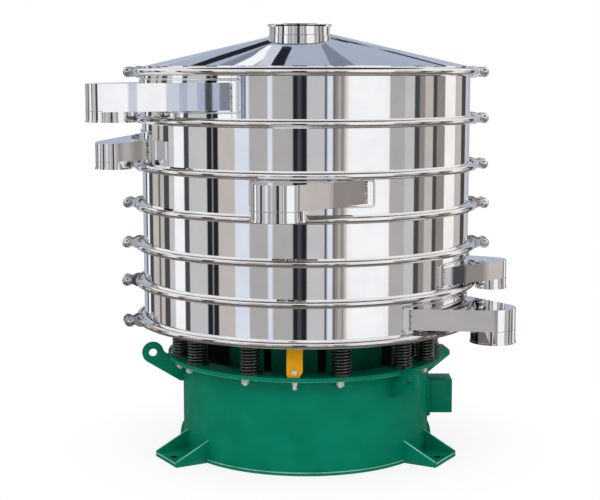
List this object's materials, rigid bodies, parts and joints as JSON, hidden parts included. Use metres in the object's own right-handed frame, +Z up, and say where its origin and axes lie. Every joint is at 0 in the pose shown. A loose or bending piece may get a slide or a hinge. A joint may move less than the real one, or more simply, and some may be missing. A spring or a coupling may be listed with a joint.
{
  "type": "round vibrating screen",
  "caption": "Round multi-deck vibrating screen: clamped stainless sieve frames with side outlets and a conical lid, on coil springs over a round green base.",
  "frame": {"origin": "the machine's upright axis at floor level, centre of the foot bolt circle", "axes": "+Z up along the machine's axis, -Y towards the front, +X to the right seen from the front"},
  "size_m": [1.2455, 1.2833, 1.294],
  "materials": {
    "stainless_polished": "mirror polished stainless steel",
    "stainless_rings": "polished stainless steel",
    "enamel_green": "gloss enamel",
    "spring_black": "black paint",
    "lock_orange": "satin paint",
    "motor_grey": "satin paint",
    "woven_wire": "woven wire"
  },
  "bodies": {
    "root": {"base_flange": "enamel_green", "base_shell": "enamel_green", "bottom_pan": "stainless_polished", "cable_arches": "enamel_green", "clamp_ring_1": "stainless_rings", "clamp_ring_2": "stainless_rings", "clamp_ring_3": "stainless_rings", "clamp_ring_4": "stainless_rings", "clamp_ring_5": "stainless_rings", "clamp_ring_6": "stainless_rings", "clamp_ring_7": "stainless_rings", "drive_motor": "motor_grey", "feed_neck": "stainless_polished", "foot_left": "enamel_green", "foot_rear": "enamel_green", "foot_right": "enamel_green", "lid": "stainless_polished", "lifting_lug_left": "enamel_green", "lifting_lug_rear": "enamel_green", "lifting_lug_right": "enamel_green", "motor_drum": "enamel_green", "outlet_1": "stainless_polished", "outlet_2": "stainless_polished", "outlet_3": "stainless_polished", "outlet_4": "stainless_polished", "outlet_5": "stainless_polished", "outlet_6": "stainless_polished", "screen_deck_1": "woven_wire", "screen_deck_2": "woven_wire", "screen_deck_3": "woven_wire", "screen_deck_4": "woven_wire", "screen_deck_5": "woven_wire", "side_shelf": "enamel_green", "sieve_frame_1": "stainless_polished", "sieve_frame_2": "stainless_polished", "sieve_frame_3": "stainless_polished", "sieve_frame_4": "stainless_polished", "sieve_frame_5": "stainless_polished", "sieve_frame_6": "stainless_polished", "spring_table": "enamel_green", "springs": "spring_black", "terminal_box": "enamel_green", "transport_locks": "lock_orange"}
  },
  "joints": []
}
